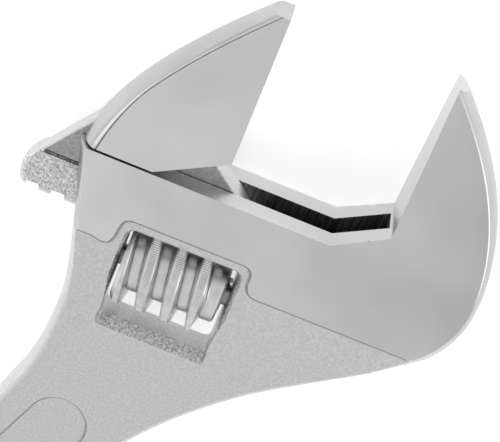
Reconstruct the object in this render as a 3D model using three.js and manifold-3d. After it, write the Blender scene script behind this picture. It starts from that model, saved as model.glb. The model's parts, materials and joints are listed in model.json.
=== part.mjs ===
// An adjustable wrench: forged body with its fixed jaw, a sliding jaw with a rack, and the worm
// (knurl) that drives it, held by a screw pin and pushed to one side by a coil spring.
//
// Millimetres. The pieces are drawn in the head's own coordinates: x = 0 is the fixed jaw's face
// with the mouth on the -X side, y = 0 is the flat that the sliding jaw runs on, and z = 0 is the
// middle of the thickness. The last lines move the whole wrench so that its origin is in the
// middle of its underside, as it lies flat.

import * as THREE from "three";
import { mergeVertices } from "three/addons/utils/BufferGeometryUtils.js";
import Module from "manifold-3d";

const wasm = await Module();
wasm.setup();

// ---- Driving dimensions ----

const capacity = 38; // widest opening between the jaw faces
const overallLength = 305; // jaw tips to the end of the handle, along the handle
const headThickness = 20;
const tipThickness = 10.6; // of both jaws, at their tips
const jawReach = 42.5; // from the sliding flat to the jaw tips
const fixedJawRoot = 25.3; // from the fixed jaw's face to the head's outer side
const headLeft = 71; // from the fixed jaw's face to the head's left flank

const throatRun = 11.6; // the 30 degree slope at the foot of the fixed jaw
const throatRise = 6.7;
const jawSlopeRun = 15.3; // the 30 degree slope at the foot of the sliding jaw
const jawSlopeRise = 8.8;
const jawBase = 32.2; // width of the sliding jaw at its foot, at mid thickness
const tipFlat = 2.4; // the small facet on each jaw's tip

const gap = 0.3; // running clearance between pieces
const rootGap = 0.4; // between a thread's crest and the floor of the gap it runs in
const slotEndGap = 0.6; // between the closed sliding jaw and the ends of its slot and bore
const slideRadius = 6; // the sliding jaw's barrel
const slideDepth = 12.4; // the barrel's axis below the sliding flat
const slideLeftReach = 11.1; // how far the barrel stands out past the jaw's foot
const slideRightReach = 12; // how far the barrel goes past the sliding jaw's face
const webThickness = 7; // the plate that joins the sliding jaw and its barrel

const rackPitch = 6.13; // also the knurl's lead
const rackDepth = 3.3; // of the mesh between the rack and the knurl
const rackPhase = -9.2; // a rack gap's centre, from the sliding jaw's face
const threadAngle = THREE.MathUtils.degToRad(10); // of a thread flank off the radial direction
const crestWidth = 2.2; // the knurl's ridge at its outer diameter

const knurlRadius = 11;
const knurlLength = 24.2;
const knurlLeft = 52.5; // from the fixed jaw's face to the knurl's left end
const knurlChamfer = 1.2;
const knurlEndGap = 0.8; // between the knurl's left end and the window
const springGap = 1.5; // between the knurl's right end and the window
const windowFootGap = 3.2; // under the knurl

const pinRadius = 2.5;
const pinHeadRadius = 3.8;
const pinHeadLength = 3;
const pinHeadDepth = 1.2; // the pin's head lies this far inside the left flank
const flankLean = 6; // the left flank has come in this far where the pin passes through it
const pinThread = 12; // length of the pin in its tapped hole
const screwdriverSlot = 1.2;

const springWire = 0.9;
const springClearance = 0.8; // between the pin and the spring's coils
const springTurns = 6;
const springPocket = 8; // depth of the spring's pocket in the knurl

const cheekStep = 0.4; // the ground cheeks stand this much above the forging
const cheekFoot = 20; // the ground cheeks end this far below the sliding flat
const handleAngle = THREE.MathUtils.degToRad(22.5);
const handleThickness = 12;
const handleWidth = 31; // where the handle leaves the neck
const handleWaist = 26;
const handleEndWidth = 32;
const handleRound = 3; // of the handle's long edges
const neckFoot = 42; // the neck has come down to the handle's thickness this far below the flat
const hangHoleRadius = 8;
const panelDepth = 1.6; // the sunk panels in the handle's two faces
const panelWidth = 15;
const panelLength = 120;

// ---- Sizes worked out from these ----

const facets = 36;
const headHalf = headThickness / 2;
const handleHalf = handleThickness / 2;
const tall = headThickness + knurlRadius; // past every face
const farLeft = -headLeft - 40; // past every left side
const overrun = 6; // how far an outline runs on past a face that is cut afterwards
const crown = 2.6; // how much further out the flanks are at mid thickness
const crownDepth = headHalf - 0.5; // the part of the half thickness that rounds in
const slideAxis = -slideDepth;
const boreRadius = slideRadius + gap;
const rackGapTop = slideAxis - slideRadius + rackDepth;
const knurlAxis = rackGapTop - rootGap - knurlRadius;
const coreRadius = knurlRadius - rackDepth - rootGap;
const windowLeft = -knurlLeft - knurlEndGap;
const windowRight = -knurlLeft + knurlLength + springGap;
const windowTop = knurlAxis + knurlRadius;
const windowFoot = knurlAxis - knurlRadius - windowFootGap;
const springRadius = pinRadius + springClearance + springWire / 2;
const pocketRadius = springRadius + springWire / 2 + gap;
const pinHeadLeft = -headLeft + flankLean + pinHeadDepth;

// ---- Shapes and solids ----

const at = (x, y) => new THREE.Vector2(x, y);
const shapeOf = (...corners) => new THREE.Shape(corners.map(([x, y]) => at(x, y)));

// A manifold solid from a closed three.js geometry.
function solid(geometry) {
  const bare = geometry.clone();
  bare.deleteAttribute("normal");
  bare.deleteAttribute("uv");
  const merged = mergeVertices(bare, 1e-4);
  return new wasm.Manifold(
    new wasm.Mesh({
      numProp: 3,
      vertProperties: new Float32Array(merged.attributes.position.array),
      triVerts: new Uint32Array(merged.index.array),
    }),
  );
}

// A named mesh from a manifold solid, with flat faces.
function meshOf(name, made, colour, roughness, metalness) {
  const { vertProperties, triVerts } = made.getMesh();
  const indexed = new THREE.BufferGeometry();
  indexed.setAttribute("position", new THREE.BufferAttribute(vertProperties, 3));
  indexed.setIndex(new THREE.BufferAttribute(triVerts, 1));
  const geometry = indexed.toNonIndexed();
  geometry.computeVertexNormals();
  const material = new THREE.MeshStandardMaterial({ color: colour, roughness, metalness });
  const mesh = new THREE.Mesh(geometry, material);
  mesh.name = name;
  return mesh;
}

// A straight prism of an outline in the XY plane, from z = -half to z = half.
function prism(outline, half) {
  const geometry = new THREE.ExtrudeGeometry(outline, {
    depth: 2 * half,
    bevelEnabled: false,
    curveSegments: 16,
  });
  return solid(geometry.translate(0, 0, -half));
}

// A plate of an outline in the XY plane whose edge is full at mid thickness and rounds in towards
// both faces: by `inset` over the last `depth` of its thickness.
function roundedPlate(outline, half, inset, depth) {
  const geometry = new THREE.ExtrudeGeometry(outline, {
    depth: 2 * (half - depth),
    bevelThickness: depth,
    bevelSize: inset,
    bevelOffset: -inset,
    bevelSegments: 3,
    curveSegments: 10,
  });
  return solid(geometry.translate(0, 0, depth - half));
}

// A prism along X of an outline drawn with y across and z up.
function prismAlongX(outline, left, right) {
  const geometry = new THREE.ExtrudeGeometry(outline, { depth: right - left, bevelEnabled: false });
  geometry.rotateX(Math.PI / 2).rotateZ(Math.PI / 2);
  return solid(geometry.translate(left, 0, 0));
}

// A round solid about an axis along X at height y. The profile's points are [x, radius].
function turned(profile, y) {
  const points = profile.map(([x, radius]) => at(radius, x));
  const geometry = new THREE.LatheGeometry(points, facets).rotateZ(-Math.PI / 2);
  return solid(geometry.translate(0, y, 0));
}

function rodAlongX(radius, left, right, y) {
  return turned([[left, 0], [left, radius], [right, radius], [right, 0]], y);
}

// A helix about X: right-handed, with its section carried round square to the axis.
class Helix extends THREE.Curve {
  constructor(radius, lead, left, turns, startAngle) {
    super();
    Object.assign(this, { radius, lead, left, turns, startAngle });
  }

  angle(t) {
    return this.startAngle + 2 * Math.PI * this.turns * t;
  }

  getPoint(t, target = new THREE.Vector3()) {
    const a = this.angle(t);
    const x = this.left + this.lead * this.turns * t;
    return target.set(x, this.radius * Math.cos(a), this.radius * Math.sin(a));
  }

  getPointAt(t, target) {
    return this.getPoint(t, target);
  }

  computeFrenetFrames(segments) {
    const frames = { tangents: [], normals: [], binormals: [] };
    for (let i = 0; i <= segments; i += 1) {
      const a = this.angle(i / segments);
      frames.tangents.push(new THREE.Vector3(0, -Math.sin(a), Math.cos(a)));
      frames.normals.push(new THREE.Vector3(0, Math.cos(a), Math.sin(a)));
      frames.binormals.push(new THREE.Vector3(-1, 0, 0));
    }
    return frames;
  }
}

// A section swept along a helix. The section is drawn with radius across and x down.
function coil(section, helix, stepsPerTurn, y) {
  const geometry = new THREE.ExtrudeGeometry(section, {
    steps: Math.round(helix.turns * stepsPerTurn),
    extrudePath: helix,
    curveSegments: 2,
  });
  return solid(geometry.translate(0, y, 0));
}

// ---- The body: handle, head and fixed jaw ----

// The handle's own axes: `along` runs away from the head, `across` to the mouth's closed side.
const handleDown = at(-Math.sin(handleAngle), -Math.cos(handleAngle));
const handleRight = at(Math.cos(handleAngle), -Math.sin(handleAngle));
const handleTop = at(-53, -73.5); // the middle of the handle where the neck runs into it
const tipToHandleTop = -jawReach * handleDown.y + handleTop.dot(handleDown);
const handleLength = overallLength - tipToHandleTop;

function onHandle(along, across) {
  return handleTop.clone().addScaledVector(handleDown, along).addScaledVector(handleRight, across);
}

function curveTo(shape, first, second, end) {
  shape.bezierCurveTo(first.x, first.y, second.x, second.y, end.x, end.y);
}

function handleSide(shape, side) {
  const endRadius = handleEndWidth / 2;
  const waist = handleLength * 0.45;
  const stations = [
    [0, handleWidth / 2],
    [waist / 2, handleWaist / 2 + 0.6],
    [waist, handleWaist / 2],
    [(waist + handleLength - endRadius) / 2, handleWaist / 2 + 1.2],
    [handleLength - endRadius, endRadius],
  ];
  if (side < 0) stations.reverse();
  shape.splineThru(stations.slice(1).map(([along, width]) => onHandle(along, side * width)));
}

// The outline at mid thickness, run on past the mouth's faces, which are cut afterwards.
function bodyOutline() {
  const endRadius = handleEndWidth / 2;
  const shape = new THREE.Shape();
  shape.moveTo(-headLeft - 1.5, overrun);
  shape.lineTo(-overrun, overrun);
  shape.lineTo(-overrun, jawReach);
  shape.lineTo(tipFlat, jawReach - 0.7);
  curveTo(shape, at(14.6, jawReach - 13), at(fixedJawRoot, 14.8), at(fixedJawRoot, -5));
  curveTo(shape, at(fixedJawRoot, -12), at(22.5, -18.5), at(17.5, -22.3));
  shape.lineTo(-11, -45.9);
  const right = onHandle(0, handleWidth / 2);
  curveTo(shape, at(-20, -53.4), at(-32.5, -66.3), right);
  handleSide(shape, 1);
  const end = onHandle(handleLength - endRadius, 0);
  shape.absarc(end.x, end.y, endRadius, -handleAngle, -handleAngle - Math.PI, true);
  handleSide(shape, -1);
  curveTo(shape, onHandle(-8.3, -handleWidth / 2), at(-63.2, -50), at(-63.2, -neckFoot));
  curveTo(shape, at(-63.2, -30), at(-headLeft + 2, -9), at(-headLeft, 0));
  return shape;
}

// How thick the head and neck are, down their length, as an outline in y and z.
function headThicknessOutline() {
  const tipHalf = tipThickness / 2;
  const neckEnd = -neckFoot - 18;
  return shapeOf(
    [jawReach, -tipHalf],
    [jawReach, tipHalf],
    [0, headHalf],
    [-cheekFoot, headHalf],
    [-neckFoot, handleHalf],
    [neckEnd, handleHalf],
    [neckEnd, -handleHalf],
    [-neckFoot, -handleHalf],
    [-cheekFoot, -headHalf],
    [0, -headHalf],
  );
}

// The space above the sliding flat and beside the fixed jaw's face.
function mouth() {
  return prism(
    shapeOf(
      [farLeft, 0],
      [-throatRun, 0],
      [0, throatRise],
      [0, jawReach + overrun],
      [farLeft, jawReach + overrun],
    ),
    tall,
  );
}

// The rough forging around the window lies a little below the ground cheeks.
function forgedFace(side) {
  const shoulder = 1.7;
  const arch = 13; // the forging rises round the window to this far below the sliding flat
  const outline = new THREE.Shape();
  outline.moveTo(farLeft, -cheekFoot);
  outline.lineTo(windowLeft - 5, -cheekFoot);
  outline.quadraticCurveTo(windowLeft - 2, -cheekFoot, windowLeft - shoulder, -arch - 2);
  outline.quadraticCurveTo(windowLeft - shoulder, -arch, windowLeft, -arch);
  outline.lineTo(windowRight, -arch);
  outline.quadraticCurveTo(windowRight + shoulder, -arch, windowRight + shoulder, -arch - 3);
  outline.quadraticCurveTo(windowRight + 2, -cheekFoot, windowRight + 6, -cheekFoot);
  outline.lineTo(fixedJawRoot + overrun, -cheekFoot);
  outline.lineTo(fixedJawRoot + overrun, -neckFoot);
  outline.lineTo(farLeft, -neckFoot);
  const depth = tall - headHalf + cheekStep;
  return prism(outline, depth / 2).translate([0, 0, side * (headHalf - cheekStep + depth / 2)]);
}

function windowOutline() {
  const corner = 2;
  const shape = new THREE.Shape();
  shape.moveTo(windowLeft, windowTop - corner);
  shape.quadraticCurveTo(windowLeft, windowTop, windowLeft + corner, windowTop);
  shape.lineTo(windowRight - corner, windowTop);
  shape.quadraticCurveTo(windowRight, windowTop, windowRight, windowTop - corner);
  shape.lineTo(windowRight, windowFoot + corner);
  shape.quadraticCurveTo(windowRight, windowFoot, windowRight - corner, windowFoot);
  shape.lineTo(windowLeft + corner, windowFoot);
  shape.quadraticCurveTo(windowLeft, windowFoot, windowLeft, windowFoot + corner);
  return shape;
}

// The chamfer along the window's lower wall, on both faces.
function windowChamfer() {
  const inside = windowFoot + 1;
  const slope = [windowFoot - 1.9, 5.8];
  const lip = [windowFoot + 0.1, 2.3];
  const deepest = windowFoot - 4;
  const outline = shapeOf(
    [inside, -tall],
    [inside, tall],
    [deepest, tall],
    slope,
    lip,
    [lip[0], -lip[1]],
    [slope[0], -slope[1]],
    [deepest, -tall],
  );
  return prismAlongX(outline, windowLeft + 1, windowRight - 1);
}

// The slot for the sliding jaw's web. Its closed end slopes under the fixed jaw.
function webSlot() {
  const root = -0.5;
  const end = slideRightReach + slotEndGap;
  const outline = shapeOf(
    [farLeft, throatRise + overrun],
    [root, throatRise + overrun],
    [root, throatRise - 2.4],
    [end, slideAxis + slideRadius - 0.2],
    [end, slideAxis],
    [farLeft, slideAxis],
  );
  return prism(outline, webThickness / 2 + gap);
}

function slideBore() {
  return rodAlongX(boreRadius, farLeft, slideRightReach + slotEndGap, slideAxis);
}

function pinHoles() {
  const shank = rodAlongX(pinRadius + gap, farLeft, windowRight + pinThread + gap, knurlAxis);
  const headSeat = pinHeadLeft + pinHeadLength + gap;
  return shank.add(rodAlongX(pinHeadRadius + gap, farLeft, headSeat, knurlAxis));
}

function handlePanel(side) {
  const start = onHandle(0, 0);
  const end = onHandle(panelLength, 0);
  const shape = new THREE.Shape();
  const radius = panelWidth / 2;
  shape.absarc(start.x, start.y, radius, -handleAngle, Math.PI - handleAngle, false);
  shape.absarc(end.x, end.y, radius, Math.PI - handleAngle, 2 * Math.PI - handleAngle, false);
  const depth = tall - handleHalf + panelDepth;
  return prism(shape, depth / 2).translate([0, 0, side * (handleHalf - panelDepth + depth / 2)]);
}

function hangHole() {
  const centre = onHandle(handleLength - handleEndWidth / 2, 0);
  const shape = new THREE.Shape().absarc(centre.x, centre.y, hangHoleRadius, 0, 2 * Math.PI, false);
  return prism(shape, tall);
}

function makeBody() {
  const outline = bodyOutline();
  const head = roundedPlate(outline, headHalf, crown, crownDepth)
    .intersect(prismAlongX(headThicknessOutline(), farLeft, fixedJawRoot + overrun))
    .subtract(mouth());
  const handleStart = -neckFoot - 10;
  const handleZone = prism(
    shapeOf(
      [farLeft - overallLength, handleStart],
      [farLeft - overallLength, -2 * overallLength],
      [fixedJawRoot, -2 * overallLength],
      [fixedJawRoot, handleStart],
    ),
    tall,
  );
  const handle = roundedPlate(outline, handleHalf, handleRound, handleRound).intersect(handleZone);
  const cuts = [
    forgedFace(1),
    forgedFace(-1),
    prism(windowOutline(), tall),
    windowChamfer(),
    webSlot(),
    slideBore(),
    pinHoles(),
    handlePanel(1),
    handlePanel(-1),
    hangHole(),
  ];
  return cuts.reduce((made, cut) => made.subtract(cut), head.add(handle));
}

// ---- The sliding jaw ----

function jawOutline() {
  const face = -capacity;
  const shape = new THREE.Shape();
  const foot = face - jawBase;
  shape.moveTo(foot - 1, -overrun);
  shape.lineTo(face + overrun, -overrun);
  shape.lineTo(face + overrun, jawReach);
  shape.lineTo(face - tipFlat, jawReach);
  curveTo(shape, at(face - 17, jawReach - 14.5), at(foot + 2.2, 12), at(foot, gap));
  return shape;
}

function jawThicknessOutline() {
  const tipHalf = tipThickness / 2;
  return shapeOf(
    [jawReach, -tipHalf],
    [jawReach, tipHalf],
    [0, headHalf],
    [-1, headHalf],
    [-1, -headHalf],
    [0, -headHalf],
  );
}

// What the jaw keeps of its plate: above the sliding flat, left of its face and its slope.
function jawRegion() {
  const face = -capacity;
  return prism(
    shapeOf(
      [farLeft, gap],
      [face - jawSlopeRun, gap],
      [face, jawSlopeRise],
      [face, jawReach + overrun],
      [farLeft, jawReach + overrun],
    ),
    tall,
  );
}

// The web and the barrel in side view, from the round nose to the sloped end.
function slideOutline() {
  const face = -capacity;
  const nose = face - jawBase - slideLeftReach;
  const right = face + slideRightReach;
  const shape = new THREE.Shape();
  shape.moveTo(face - jawBase + 4, 8);
  shape.lineTo(face - jawBase - 2.1, 0.2);
  shape.lineTo(nose + 0.8, slideAxis + 1.8);
  shape.quadraticCurveTo(nose, slideAxis + 0.6, nose, slideAxis);
  shape.quadraticCurveTo(nose, slideAxis - slideRadius, nose + slideRadius, slideAxis - slideRadius);
  shape.lineTo(right, slideAxis - slideRadius);
  shape.lineTo(right, slideAxis + slideRadius);
  shape.lineTo(face - 4.6, jawSlopeRise - 2.4);
  return shape;
}

// One gap of the rack, leaning with the knurl's thread.
function rackGap(index) {
  const lean = Math.atan(rackPitch / (2 * Math.PI * (knurlRadius - rackDepth / 2)));
  const top = crestWidth / 2 + gap;
  const depth = rackDepth + 1;
  const flare = depth * Math.tan(threadAngle);
  const outline = shapeOf(
    [-top, rackGapTop],
    [-top - flare, rackGapTop - depth],
    [top + flare, rackGapTop - depth],
    [top, rackGapTop],
  );
  const x = -capacity + rackPhase + index * rackPitch;
  return prism(outline, slideRadius + 2)
    .rotate([0, THREE.MathUtils.radToDeg(lean), 0])
    .translate([x, 0, 0]);
}

function makeMovableJaw() {
  const left = -capacity - jawBase - slideLeftReach;
  const right = -capacity + slideRightReach;
  const jaw = roundedPlate(jawOutline(), headHalf, crown, crownDepth)
    .intersect(prismAlongX(jawThicknessOutline(), farLeft, 0))
    .intersect(jawRegion());
  const barrel = turned(
    [
      [left, 0],
      [left + 0.2, slideRadius - 2.6],
      [left + 1, slideRadius - 1.1],
      [left + 2.6, slideRadius],
      [right, slideRadius],
      [right, 0],
    ],
    slideAxis,
  );
  const web = prism(slideOutline(), webThickness / 2).intersect(
    prism(shapeOf([left, slideAxis], [right, slideAxis], [right, jawReach], [left, jawReach]), tall),
  );
  const slide = barrel.intersect(prism(slideOutline(), tall)).add(web);
  const first = Math.ceil((left + capacity - rackPhase) / rackPitch);
  const last = Math.floor((right + capacity - rackPhase) / rackPitch);
  let made = jaw.add(slide);
  for (let index = first; index <= last; index += 1) made = made.subtract(rackGap(index));
  return made;
}

// ---- The knurl, its pin and its spring ----

function makeKnurl() {
  const left = -knurlLeft;
  const right = left + knurlLength;
  const core = rodAlongX(coreRadius, left, right, knurlAxis);
  const half = crestWidth / 2;
  const buried = 0.6;
  const spread = half + (knurlRadius - coreRadius + buried) * Math.tan(threadAngle);
  const section = shapeOf(
    [coreRadius - buried, -spread],
    [knurlRadius, -half],
    [knurlRadius, half],
    [coreRadius - buried, spread],
  );
  // The ridge passes the top of the knurl in line with the rack's gaps.
  const turns = Math.ceil(knurlLength / rackPitch) + 2;
  const phase = -capacity + rackPhase;
  const before = Math.ceil((phase - left) / rackPitch) + 1;
  const helix = new Helix(0, rackPitch, phase - before * rackPitch, turns, 0);
  const blank = turned(
    [
      [left, 0],
      [left, knurlRadius - knurlChamfer],
      [left + knurlChamfer, knurlRadius],
      [right - knurlChamfer, knurlRadius],
      [right, knurlRadius - knurlChamfer],
      [right, 0],
    ],
    knurlAxis,
  );
  const bore = rodAlongX(pinRadius + gap, left - 1, right + 1, knurlAxis);
  const pocket = rodAlongX(pocketRadius, right - springPocket, right + 1, knurlAxis);
  return core
    .add(coil(section, helix, 24, knurlAxis).intersect(blank))
    .subtract(bore)
    .subtract(pocket);
}

function makeKnurlPin() {
  const left = pinHeadLeft;
  const right = windowRight + pinThread;
  const chamfer = 0.8;
  const pin = turned(
    [
      [left, 0],
      [left, pinHeadRadius],
      [left + pinHeadLength, pinHeadRadius],
      [left + pinHeadLength, pinRadius],
      [right - chamfer, pinRadius],
      [right, pinRadius - chamfer],
      [right, 0],
    ],
    knurlAxis,
  );
  const across = pinHeadRadius + 1;
  const slot = prismAlongX(
    shapeOf(
      [knurlAxis - across, -screwdriverSlot / 2],
      [knurlAxis + across, -screwdriverSlot / 2],
      [knurlAxis + across, screwdriverSlot / 2],
      [knurlAxis - across, screwdriverSlot / 2],
    ),
    left - 1,
    left + screwdriverSlot,
  );
  return pin.subtract(slot);
}

function makeKnurlSpring() {
  const wire = springWire / 2;
  const left = windowRight - springGap - springPocket + gap + wire;
  const right = windowRight - gap - wire;
  const section = new THREE.Shape().absarc(springRadius, 0, wire, 0, 2 * Math.PI, false);
  const lead = (right - left) / springTurns;
  return coil(section, new Helix(0, lead, left, springTurns, 0), 16, knurlAxis);
}

// ---- The wrench ----

const wrench = new THREE.Group();
wrench.add(
  meshOf("body", makeBody(), 0xb4b6b8, 0.35, 1),
  meshOf("movable_jaw", makeMovableJaw(), 0xb9bbbd, 0.32, 1),
  meshOf("knurl", makeKnurl(), 0xa9aaac, 0.3, 1),
  meshOf("knurl_pin", makeKnurlPin(), 0x8f9092, 0.4, 1),
  meshOf("knurl_spring", makeKnurlSpring(), 0x77797b, 0.4, 1),
);

// The wrench lies flat with its origin in the middle of its underside.
const box = new THREE.Box3().setFromObject(wrench);
const middle = box.getCenter(new THREE.Vector3());
wrench.position.set(-middle.x, -middle.y, -box.min.z);

export default wrench;
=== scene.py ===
# %% [markdown]
# # An adjustable wrench
# This lesson makes the looks of an adjustable wrench around its mechanical model. The model
# gives the places, the joints and the sizes; Blender makes the forging's rounded flanks, the
# ground cheeks, the knurl's ridges and the steel.

# %% The frame
import json
from math import atan2, cos, hypot, pi, radians, sin, tan

import bmesh
import bpy
from mathutils import Matrix, Vector
from mathutils.geometry import interpolate_bezier


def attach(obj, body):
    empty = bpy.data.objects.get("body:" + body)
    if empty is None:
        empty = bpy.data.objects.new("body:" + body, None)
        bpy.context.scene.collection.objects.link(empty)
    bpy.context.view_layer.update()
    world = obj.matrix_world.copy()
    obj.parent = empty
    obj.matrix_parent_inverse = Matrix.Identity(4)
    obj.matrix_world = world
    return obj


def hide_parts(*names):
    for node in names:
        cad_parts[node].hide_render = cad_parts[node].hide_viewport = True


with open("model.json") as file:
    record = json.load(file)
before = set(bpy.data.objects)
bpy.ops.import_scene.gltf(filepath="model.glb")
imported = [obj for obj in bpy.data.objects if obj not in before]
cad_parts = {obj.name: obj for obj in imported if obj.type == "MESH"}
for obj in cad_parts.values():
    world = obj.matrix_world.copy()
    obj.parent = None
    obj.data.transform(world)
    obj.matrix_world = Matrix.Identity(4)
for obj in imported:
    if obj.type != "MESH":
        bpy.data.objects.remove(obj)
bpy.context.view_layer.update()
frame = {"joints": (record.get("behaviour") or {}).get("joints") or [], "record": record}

# %% [markdown]
# ## Where the head is
# A wrench is drawn from its mouth. So every piece here is drawn in millimetres with x = 0 on the
# fixed jaw's face, y = 0 on the flat that the sliding jaw runs on, and z = 0 in the middle of the
# thickness. The frame says where that point is: one mount lies on the fixed jaw's face, and the
# knurl's joint gives the height and the depth.

# %% The head's own axes
MM = 0.001
mounts = {mount["name"]: mount for mount in frame["record"]["mounts"]}
knurl_joint = next(joint for joint in frame["joints"] if joint["name"] == "knurl_spin")
KNURL_AXIS = -26.5
head_origin = Vector((
    mounts["fixed_jaw_face"]["pos_m"][0],
    knurl_joint["pos_m"][1] - KNURL_AXIS * MM,
    knurl_joint["pos_m"][2],
))
HEAD_TO_FRAME = Matrix.Translation(head_origin) @ Matrix.Scale(MM, 4)
print("the mouth's corner is at", head_origin)

# %% Sizes of the head, in millimetres
CAPACITY = 38.0
OVERALL_LENGTH = 305.0
HEAD_HALF = 10.0
TIP_HALF = 5.3
JAW_REACH = 42.5
HEAD_LEFT = 71.0
JAW_ROOT = 25.3
THROAT = (11.6, 6.7)
GAP = 0.3
SLIDE_RADIUS = 6.0
SLIDE_AXIS = -12.4
SLOT_END = 12.6
WEB_HALF = 3.5
WINDOW = (-53.3, -40.7, -26.8, -15.5)
WINDOW_CORNER = 1.8
CHEEK_FOOT = -20.0
CHEEK_STEP = 0.7
NECK_FOOT = -42.0
PIN_RADIUS = 2.5
PIN_HEAD = 3.8
PIN_HEAD_LEFT = -63.8
PIN_HEAD_LONG = 3.0
PIN_RIGHT = -14.8
print("the mouth opens to", CAPACITY, "mm and the head is", 2 * HEAD_HALF, "mm thick")

# %% Sizes of the handle
HANDLE_HALF = 6.0
HANDLE_ANGLE = radians(22.5)
HANDLE_TOP = Vector((-53.0, -73.5))
HANDLE_WIDTH = 31.0
HANDLE_WAIST = 26.0
END_RADIUS = 16.0
HANG_RADIUS = 8.0
PANEL_LENGTH = 120.0
PANEL_HALF = 7.5
PANEL_DEPTH = 0.5
print("the handle is", HANDLE_WIDTH, "mm wide at its top and", HANDLE_WAIST, "mm at its waist")

# %% [markdown]
# ## The camera
# The camera comes first, so that every piece can be judged in the view it is made for. It looks
# down on the head from the jaws' side, rolled so that the jaws are at the top.

# %% The camera
def stand_camera():
    data = bpy.data.cameras.new("camera")
    data.lens = 108.0
    data.sensor_width = 36.0
    data.clip_start = 0.01
    camera = bpy.data.objects.new("camera", data)
    bpy.context.scene.collection.objects.link(camera)
    right = Vector((0.92705, 0.35388, -0.12387))
    up = Vector((-0.37138, 0.82137, -0.43292))
    back = right.cross(up)
    place = head_origin + Vector((-46.45, 144.12, 300.84)) * MM
    camera.matrix_world = Matrix.Translation(place) @ Matrix((right, up, back)).transposed().to_4x4()
    bpy.context.scene.camera = camera
    return camera


camera = stand_camera()
print("camera at", camera.location)

# %% [markdown]
# ## Steel finishes
# One forging carries several finishes. The cheeks are ground and satin plated, with painted light
# and shade that makes them lighter at the left and darker towards the fixed jaw, and the flanks
# beside them are the same satin, darkened a little with painted shade. The neck and the handle keep
# the fine pebble of a blasted forging, the slopes of the window are rough from the trimming press,
# and the slot still shows the milling cutter's marks on metal darkened with painted shade. Steps
# and creases are darkened with painted shade. All are the same metal: only the roughness, the bump
# and the tone change. Noise on Object coordinates keeps each pattern at its real scale, because a
# piece's coordinates are metres.

# %% Node helpers
def start_steel(name, colour, roughness):
    """A metal, with what the finishes need to add to it: its nodes, links, shader and place."""
    material = bpy.data.materials.new(name)
    material.use_nodes = True
    nodes = material.node_tree.nodes
    shader = nodes["Principled BSDF"]
    shader.inputs["Base Color"].default_value = (*colour, 1)
    shader.inputs["Metallic"].default_value = 1.0
    shader.inputs["Roughness"].default_value = roughness
    place = nodes.new("ShaderNodeTexCoord")
    return material, nodes, material.node_tree.links, shader, place.outputs["Object"]


def noise(nodes, links, place, scale, detail=3.0, stretch=(1, 1, 1), turn=(0, 0, 0)):
    """Noise with this many features to a metre. A small stretch draws it out into lines."""
    mapping = nodes.new("ShaderNodeMapping")
    mapping.inputs["Scale"].default_value = stretch
    mapping.inputs["Rotation"].default_value = turn
    texture = nodes.new("ShaderNodeTexNoise")
    texture.inputs["Scale"].default_value = scale
    texture.inputs["Detail"].default_value = detail
    links.new(place, mapping.inputs["Vector"])
    links.new(mapping.outputs["Vector"], texture.inputs["Vector"])
    return texture.outputs["Fac"]


def spread(nodes, links, value, low, high, start=0.3, stop=0.7):
    """The value, which runs from start to stop, made to run from low to high."""
    ramp = nodes.new("ShaderNodeMapRange")
    ramp.inputs["From Min"].default_value = start
    ramp.inputs["From Max"].default_value = stop
    ramp.inputs["To Min"].default_value = low
    ramp.inputs["To Max"].default_value = high
    links.new(value, ramp.inputs["Value"])
    return ramp.outputs["Result"]


def tint(nodes, links, shader, value, dark, light):
    """Colours the metal from dark to light as the value runs from 0.3 to 0.7."""
    ramp = nodes.new("ShaderNodeValToRGB")
    ramp.color_ramp.elements[0].position = 0.3
    ramp.color_ramp.elements[0].color = (*dark, 1)
    ramp.color_ramp.elements[1].position = 0.7
    ramp.color_ramp.elements[1].color = (*light, 1)
    links.new(value, ramp.inputs["Fac"])
    links.new(ramp.outputs["Color"], shader.inputs["Base Color"])


def bump(nodes, links, shader, value, depth_mm, under=None):
    """Presses a pattern into the metal, over another bump if there is one under it."""
    node = nodes.new("ShaderNodeBump")
    node.inputs["Distance"].default_value = depth_mm * MM
    node.inputs["Strength"].default_value = 1.0
    links.new(value, node.inputs["Height"])
    if under:
        links.new(under, node.inputs["Normal"])
    links.new(node.outputs["Normal"], shader.inputs["Normal"])
    return node.outputs["Normal"]


# %% [markdown]
# ### The polished finishes
# A belt grinds the cheeks flat and a satin plating covers them, so they show soft clouds and very
# faint lines. The crowned flanks are darkened a little with painted shade. One noise gives the
# clouds to the tone, to the gloss and to a very low bump, so that all three agree.

# %% Ground cheeks: satin, with faint grinding lines and painted light and shade, darker towards the fixed jaw
def paint_light_and_shade_across(nodes, links, place, value, change):
    """Painted light and shade: adds the change at the head's left edge and takes it away at its right
    edge.
    """
    across = nodes.new("ShaderNodeSeparateXYZ")
    links.new(place, across.inputs["Vector"])
    fade = spread(nodes, links, across.outputs["X"], change, -change, -0.01, 0.075)
    total = nodes.new("ShaderNodeMath")
    links.new(value, total.inputs[0])
    links.new(fade, total.inputs[1])
    return total.outputs["Value"]


def ground_steel():
    material, nodes, links, shader, place = start_steel("ground_steel", (0.66, 0.66, 0.665), 0.3)
    clouds = noise(nodes, links, place, 45, 2)
    lines = noise(nodes, links, place, 900, 3, (0.05, 1, 1), (0, 0, radians(12)))
    links.new(spread(nodes, links, clouds, 0.27, 0.37), shader.inputs["Roughness"])
    soft_clouds = spread(nodes, links, clouds, 0.42, 0.58)
    # painted light and shade: the cheeks' tone is raised at the left and lowered towards the fixed jaw
    tone = paint_light_and_shade_across(nodes, links, place, soft_clouds, 0.12)
    tint(nodes, links, shader, tone, (0.53, 0.53, 0.535), (0.78, 0.78, 0.785))
    swell = bump(nodes, links, shader, clouds, 0.12)
    bump(nodes, links, shader, lines, 0.0025, swell)
    return material
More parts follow.
